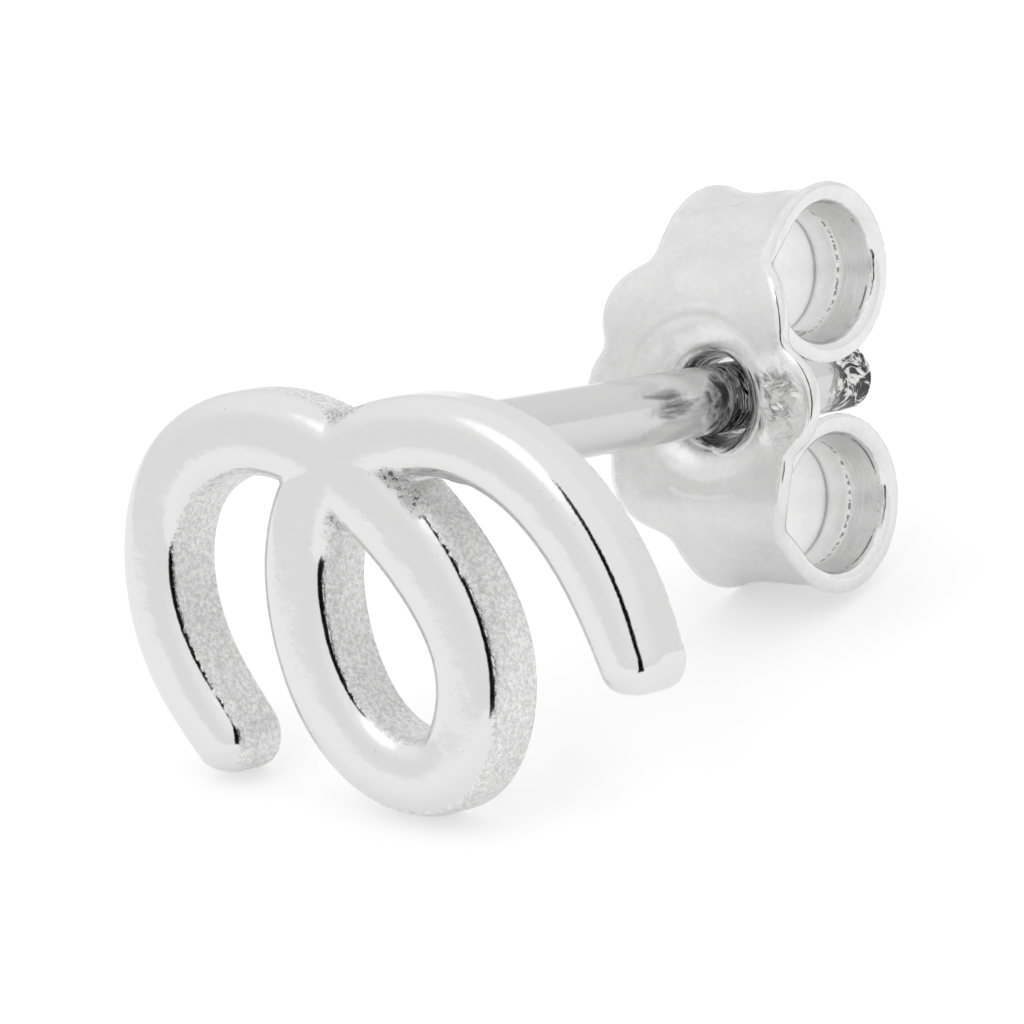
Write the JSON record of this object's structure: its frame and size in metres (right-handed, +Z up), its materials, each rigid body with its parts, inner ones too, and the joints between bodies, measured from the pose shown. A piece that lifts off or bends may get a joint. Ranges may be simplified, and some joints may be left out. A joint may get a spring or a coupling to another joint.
{
  "type": "stud earring",
  "caption": "Cast silver stud earring: a round-edged strand arched and looped like cursive, a straight post behind it and a push-on scroll back on the post.",
  "frame": {"origin": "middle of the bounding box, on the table that the stud lies on", "axes": "+Z up, +X to the right as seen from the motif's front, +Y from the motif towards the back; the post slopes down towards +Y"},
  "size_m": [0.0084, 0.0096, 0.0054],
  "materials": {
    "polished_silver": "polished front, blasted sides",
    "stamped_silver": "soft satin, bright rims"
  },
  "bodies": {
    "stud": {"loop_stud": "polished_silver"},
    "back": {"butterfly_back": "stamped_silver"}
  },
  "joints": [
    {"name": "back_slide", "type": "slide", "parent": "stud", "child": "back", "axis": [0, 0.958, -0.2869], "range_m": [-0.0043, 0.0085]}
  ]
}
